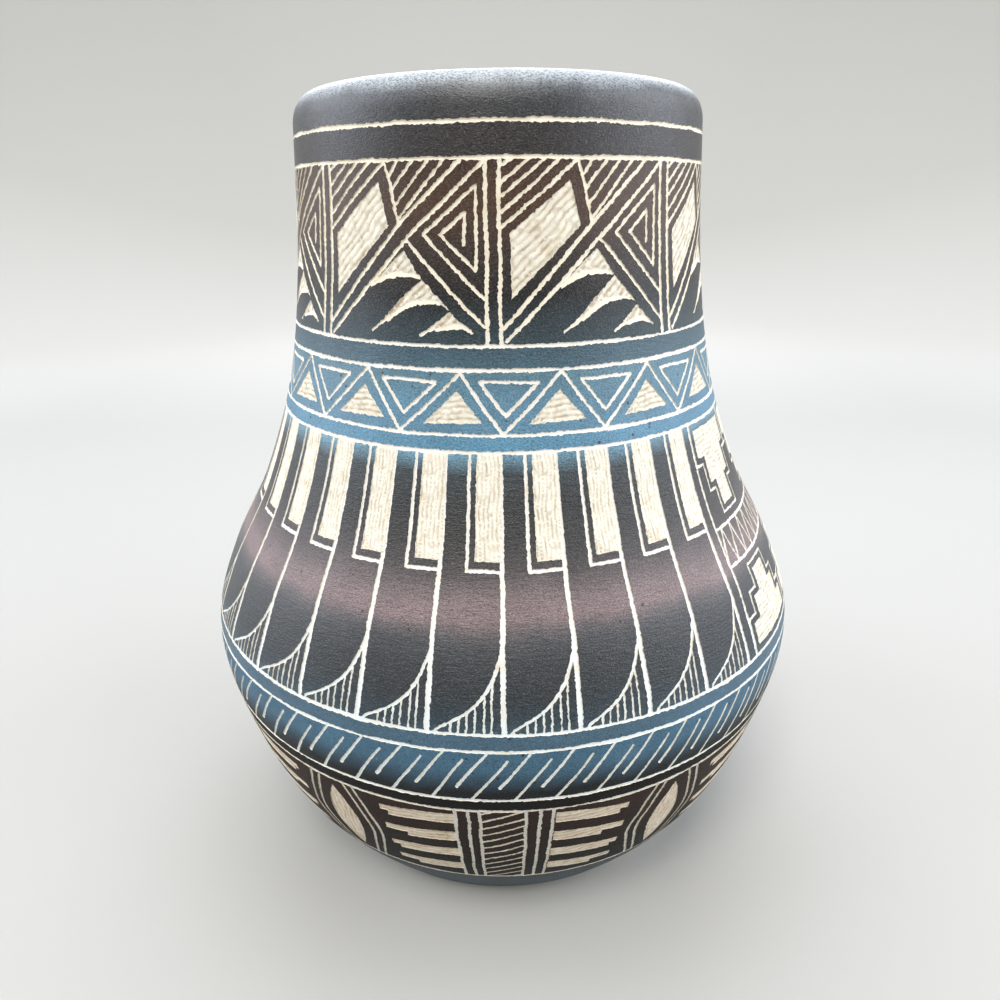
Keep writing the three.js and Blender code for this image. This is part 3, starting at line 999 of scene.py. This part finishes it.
neck = {
    "panels": 8,
    "start": 0.2,
    "stileLine": 42.0,
    "postWidth": 0.95,
    "crescentWidths": [0.5, 1.1, 1.25, 1.05, 0.6],
    "tailWidths": [1.1, 0.75, 0.6],
    # scored lines under their width: hatching, outlines and diagonals
    "scores": {0.72: [
        [(0, 1.8), (3.3, 0)], [(0, 5.3), (6.9, 0)], [(0, 8.2), (10.5, 0)], [(0, 11.55), (14, 0)],
        [(19.36, 3.47), (21.7, 0)], [(19.9, 6.2), (25.66, 0)], [(20.8, 9.2), (29.26, 0)],
        [(21.7, 12.1), (32.86, 0)],
    ], 0.78: [
        [(0, 14.7), (17.8, 0.4)], [(18.1, 0.7), (19.5, 4.75), (20.26, 8.8), (21.3, 13.0)],
        [(23.3, 16.9), (41.7, 36.4)],
        [(41.7, 30.1), (27.6, 15.8), (39.9, 5.5), (39.5, 23.5), (31.6, 15.8), (37.2, 11.2),
         (36.9, 18.0)],
    ], 0.88: [
        [(0.64, 36.4), (21.3, 13.6), (36.5, 0.35)], [(1.2, 39.3), (23.3, 16.7), (41.85, 0.5)],
    ]},
    "lozenge": [(2.26, 15.6), (16.1, 4.4), (18.6, 13.9), (2.6, 29.75)],
    "strokes": [(2.3, 29.75), (18.6, 13.9)],
    # each talon: its straight side, then its hooked side from heel to tip
    "talons": [
        {"side": [(10.7, 29.4), (22.6, 19.1), (27.3, 25.5)],
         "hook": [(26.9, 25.2), (23.5, 24.4), (20.2, 24.4), (16.8, 25.6), (13.5, 27.4)]},
        {"side": [(18.9, 33.3), (22, 29.9), (24.8, 27.6), (27.3, 25.5), (33.8, 32.1)],
         "hook": [(31.5, 30.9), (29, 30.6), (24.5, 31.2), (20.5, 33.6), (18.6, 35.2)],
         "tail": [(19.2, 34.0), (17.0, 35.6), (14.1, 37.7)]},
        {"side": [(29.4, 36.1), (31.2, 34.6), (33.8, 32.5), (40.2, 39.2)],
         "hook": [(38.9, 37.6), (37.5, 36.5), (35.6, 35.9), (33, 36.1), (30.2, 36.9)],
         "tail": [(31.0, 36.0), (29.6, 36.7), (26.7, 38.2)]},
    ],
}


def neckSheet(band):
    radius, pitch = band["radius"], 360 / neck["panels"]
    cuts = []
    for angle in (0, neck["stileLine"], pitch):
        cuts += upright(band, angle, neck["postWidth"])
    for width, lines in neck["scores"].items():
        for line in lines:
            cuts += scored(arc(radius, line), width)
    lozenge = arc(radius, neck["lozenge"])
    talons, crescents = [], []
    for talon in neck["talons"]:
        hook = smoothLine(arc(radius, talon["hook"]), 4)
        talons.append(arc(radius, talon["side"]) + hook)
        # the clean crescent that outlines each hook
        crescents += swept(arc(radius, talon["hook"]), neck["crescentWidths"])
        if "tail" in talon:
            cuts += swept(arc(radius, talon["tail"]), neck["tailWidths"])
    sheet = addCoat(newSheet(), corners(band, 0, pitch), cuts + [lozenge] + talons + crescents)
    start, end = arc(radius, neck["strokes"])
    addScraped(sheet, lozenge, end - start, 31, groovePitch=1.6, depth=0.3, soil=1.5)
    for seed, window in enumerate(talons, 32):
        addScraped(sheet, window, end - start, seed, groovePitch=1.5, soil=1.8, cuts=crescents)
    return sheet


layField("neckSlip", neckSheet, "neck", neck["panels"], "umber_slip",
         numbered("neck_panel_slip", neck["panels"]) + numbered("neck_stile_slip", neck["panels"]),
         start=neck["start"], seed=11.0)


# Zigzag band: a scraped triangle under each peak and a scored one hanging in each valley

zigzag = {
    "repeats": 16,
    "start": 0.4,
    "lineWidth": 0.82,
    "peak": 13.3,
    "zig": [(0, 14.9), (13.3, 0.5), (22.5, 14.9), (35.8, 0.5)],
    "scraped": [(5.3, 12.66), (12.6, 4.66), (18.4, 12.26)],
    "hanging": [(17.6, 2.56), (30.4, 2.76), (23.1, 10.56)],
}


def zigzagSheet(band):
    radius, height = band["radius"], band["height"]
    pitch, peak = 360 / zigzag["repeats"], zigzag["peak"]
    outline = arc(radius, [(0, height - half), (pitch, height - half), (pitch + peak, half),
                           (peak, half)])
    seams = ((outline[0], outline[3]), (outline[1], outline[2]))
    cuts = scored(arc(radius, zigzag["zig"]), zigzag["lineWidth"])
    cuts += scored(arc(radius, zigzag["hanging"]), zigzag["lineWidth"], closed=True)
    window = arc(radius, zigzag["scraped"])
    sheet = addCoat(newSheet(), outline, cuts + [window], seams)
    addScraped(sheet, window, (1, 0.05), 41, soil=1.5)
    return sheet


layField("zigzagBandSlip", zigzagSheet, "zigzag", zigzag["repeats"], "blue_slip",
         ["triangle_band_slip"], start=zigzag["start"], seed=12.0)


# Feathers: a broad strip, a scraped slot, a scored heel and its hatching

feathers = {
    "pitch": 11.25,
    "count": 26,
    "start": 112.5,
    "longWidth": 1.15,
    "innerAngle": 4.9,
    "innerDrop": 28.5,
    "innerWidth": 0.95,
    "slot": [(6.3, -1), (11.25, -1), (11.25, 26.2), (6.3, 26.2)],
    "heel": [(11.25, 47.2), (10.3, 51.3), (9.4, 54.7), (7.85, 58.4), (5.85, 61.5), (3.35, 64.0),
             (1.55, 65.7), (1.05, 66.9)],
    "heelWidths": [0.85, 0.72, 0.64],
    "hatchDrops": {9.55: 54.8, 8.45: 57.3, 7.05: 59.8, 5.85: 61.6, 4.65: 62.9, 3.45: 64.1},
    "hatchLean": 0.1,
    "hatchWidth": 0.44,
}


def featherSheet(band):
    radius, pitch = band["radius"], feathers["pitch"]
    cuts = []
    for angle in (0, pitch):
        cuts += upright(band, angle, feathers["longWidth"])
    inner, drop = feathers["innerAngle"], feathers["innerDrop"]
    cuts += scored(arc(radius, [(inner, -1), (inner, drop), (pitch, drop)]),
                   feathers["innerWidth"])
    cuts += swept(arc(radius, feathers["heel"]), feathers["heelWidths"])
    for angle, top in feathers["hatchDrops"].items():
        foot = (angle - feathers["hatchLean"], band["height"] + 1)
        cuts += scored(arc(radius, [(angle, top), foot]), feathers["hatchWidth"])
    bared = arc(radius, [(a, max(d, half)) for a, d in feathers["slot"]])
    sheet = addCoat(newSheet(), corners(band, 0, pitch), cuts + [arc(radius, feathers["slot"])])
    addScraped(sheet, bared, (0.02, 1), 51, groovePitch=1.15, depth=0.3, soil=1.15)
    return sheet


for part in range(2):
    count = feathers["count"] // 2
    layField(f"featherSlips{part + 1}", featherSheet, "feathers", count, "night_slip",
             numbered("feather_slip", count, part * count + 1),
             start=feathers["start"] + part * count * feathers["pitch"],
             pitch=feathers["pitch"], seed=13.0, chatter=0.85)


# Stepped panel: hanging and standing stepped windows, each with a scored echo round it

stepPanel = {
    "start": 45.0,
    "span": 67.5,
    "border": 4.0,
    "margin": 2.2,
    "motifs": 3,
    "hangingTip": 0.38,
    "standingTip": 0.68,
    "echo": 1.9,
    "lineWidth": 0.85,
    "fineWidth": 0.7,
    "lattice": 5,
    "latticeGap": 4.6,
}


def steppedPyramid(left, right, base, tip, gap=0):
    # three stairs on each side, from the broad base to the narrow tip, or their echo a gap away
    middle, halfWidth = (left + right) / 2, (right - left) / 2
    stairs = [(1, 0), (1, 1 / 3), (2 / 3, 1 / 3), (2 / 3, 2 / 3), (1 / 3, 2 / 3), (1 / 3, 1)]
    towards = gap if tip > base else -gap
    side = [(halfWidth * a + gap, base + (tip - base) * u + towards) for a, u in stairs]
    return [(middle + x, d) for x, d in side] + [(middle - x, d) for x, d in reversed(side)]


def stepPanelSheet(band):
    radius, height = band["radius"], band["height"]
    width = math.radians(stepPanel["span"]) * radius
    line, border, margin = stepPanel["lineWidth"], stepPanel["border"], stepPanel["margin"]
    fine, motifs = stepPanel["fineWidth"], stepPanel["motifs"]
    tips = stepPanel["hangingTip"] * height, stepPanel["standingTip"] * height
    cuts = []
    for x, thick in ((0, feathers["longWidth"]), (width, feathers["longWidth"]), (border, line),
                     (width - border, line)):
        cuts += scored(flat([(x, -1), (x, height + 1)]), thick)
    motif = (width - 2 * border) / motifs
    windows = []
    for i in range(motifs):
        left = border + i * motif + margin
        right = left + motif - 2 * margin
        for base, tip, edge in ((margin, tips[0], -1), (height - margin, tips[1], height + 1)):
            windows.append(flat(steppedPyramid(left, right, base, tip)))
            echo = steppedPyramid(left, right, base, tip, stepPanel["echo"])
            echo[0], echo[-1] = (echo[0][0], edge), (echo[-1][0], edge)
            cuts += scored(flat(echo), fine)
    high, low = tips[0] + stepPanel["latticeGap"], tips[1] - stepPanel["latticeGap"]
    for drop in (high, low):
        cuts += scored(flat([(border, drop), (width - border, drop)]), line)
    count = motifs * stepPanel["lattice"]
    step = (width - 2 * border) / count
    for i in range(count):
        x = border + i * step
        cuts += scored(flat([(x, low), (x + step / 2, high), (x + step, low)]), fine)
    sheet = addCoat(newSheet(), corners(band, 0, stepPanel["span"]), cuts + windows)
    for seed, window in enumerate(windows, 61):
        addScraped(sheet, window, (1, 0.04), seed, soil=1.3)
    return sheet


layField("stepPanelSlip", stepPanelSheet, "feathers", 1, "night_slip", ["step_panel_slip"],
         start=stepPanel["start"], pitch=stepPanel["span"], seed=14.0)


# Dashes: slanted strokes that hang and stand by turns

dashes = {
    "repeats": 57,
    "start": -2.1,
    "domainTop": (-1.416, 4.9),
    "slant": -6.46,
    "hanging": [(0, -0.5), (-2.5, 5.2), (-4.8, 11.0)],
    "hangingWidths": [0.62, 0.75, 0.95],
    "hangingEnd": 0.55,
    "standing": [(2.5, 2.5), (-0.3, 9.4), (-2.94, 16.5)],
    "standingWidths": [0.65, 0.75, 0.8],
    "standingEnd": 0.36,
}


def dashSheet(band):
    outline = corners(band, *dashes["domainTop"], dashes["slant"])
    cuts = []
    for kind, last in (("hanging", -1), ("standing", 0)):
        # the round dent where the needle comes to rest
        stroke = arc(band["radius"], dashes[kind])
        cuts += swept(stroke, dashes[kind + "Widths"])
        cuts.append(disc(stroke[last], dashes[kind + "End"]))
    return addCoat(newSheet(), outline, cuts, (outline[0:2], outline[2:4]))


layField("dashBandSlip", dashSheet, "dashes", dashes["repeats"], "blue_slip",
         ["dash_band_slip"], start=dashes["start"], seed=15.0, chatter=0.6, wander=1.2)


# Lower band: six panels, each with a hatched post and scraped bars fanned out to both sides

lower = {
    "panels": 6,
    "postLines": [-7.85, -5.75, -3.9, 3.5, 5.65, 7.65],
    "postWidth": 0.85,
    "hatchEnds": (-3.8, 3.3),
    "hatchTop": 1.5,
    "hatchPitch": 3.4,
    "hatchRise": 4.8,
    "hatchWidth": 0.65,
    "barInner": 12.4,
    "barOuter": 32.0,
    "barTop": 2.0,
    "barPitch": 8.9,
    "barHeight": 4.5,
    "barDroop": 2.0,
    "barCount": 4,
    "step": (4, 2),
    "lens": [(0, 3), (-2.9, 10.5), (-4.5, 19.5), (-2.9, 28.5), (0, 36)],
    "echoes": [3.4, 6.2],
    "echoSwell": 1.15,
    "echoWidths": [0.75, 0.9, 0.75],
}


def barWindow(side, top, share):
    # one bar: cut square at the post, stepped at its outer end
    inner, outer = lower["barInner"], lower["barOuter"]
    low, droop = top + lower["barHeight"], lower["barDroop"]
    back, rise = lower["step"]
    notch = outer - back * share
    points = [(inner, top), (inner, low), (notch, low + droop * 0.8),
              (notch, low + droop * 0.8 - rise), (outer, low + droop - rise),
              (outer, top + droop)]
    return flat([(side * x, d) for x, d in points])


def lowerSheet(band):
    radius, height = band["radius"], band["height"]
    edge = 180 / lower["panels"]
    limit = math.radians(edge) * radius
    outline = corners(band, -edge, edge)
    seams = (outline[0:2], outline[2:4])
    cuts, windows = [], []
    for angle in lower["postLines"]:
        cuts += upright(band, angle, lower["postWidth"])
    left, right = lower["hatchEnds"]
    for i in range(int(height / lower["hatchPitch"]) + 2):
        drop = i * lower["hatchPitch"] + lower["hatchTop"]
        cuts += scored(arc(radius, [(left, drop), (right, drop - lower["hatchRise"])]),
                       lower["hatchWidth"])
    for side in (-1, 1):
        for bar in range(lower["barCount"]):
            top = lower["barTop"] + bar * lower["barPitch"]
            windows.append(barWindow(side, top, bar % 2 + 0.5))
        lens = flat([(side * (limit + x), d) for x, d in lower["lens"]])
        windows.append(smoothLine(lens, 5))
        for gap in lower["echoes"]:
            echo = [(side * (limit + x * lower["echoSwell"] - gap), d) for x, d in lower["lens"]]
            echo[0] = (echo[0][0], -1)
            echo[-1] = (echo[-1][0], height + 1)
            cuts += swept(flat(echo), lower["echoWidths"])
    sheet = addCoat(newSheet(), outline, cuts + windows, seams)
    for number, window in enumerate(windows):
        isLens = number % (lower["barCount"] + 1) == lower["barCount"]
        addScraped(sheet, window, (0.1, 1) if isLens else (1, 0.1), 81 + number, groovePitch=1.5,
                   depth=0.34, soil=1.3, seams=seams)
    return sheet


layField("lowerBandSlip", lowerSheet, "lower", lower["panels"], "earth_slip",
         numbered("lower_panel_slip", lower["panels"]), seed=16.0, chatter=0.9, wander=1.3,
         wanderSize=11.0)


# Clean away the trees' helpers

for helper in [o for o in bpy.data.objects if o.name in ("wallProfile", "clayProfile")]:
    bpy.data.objects.remove(helper)
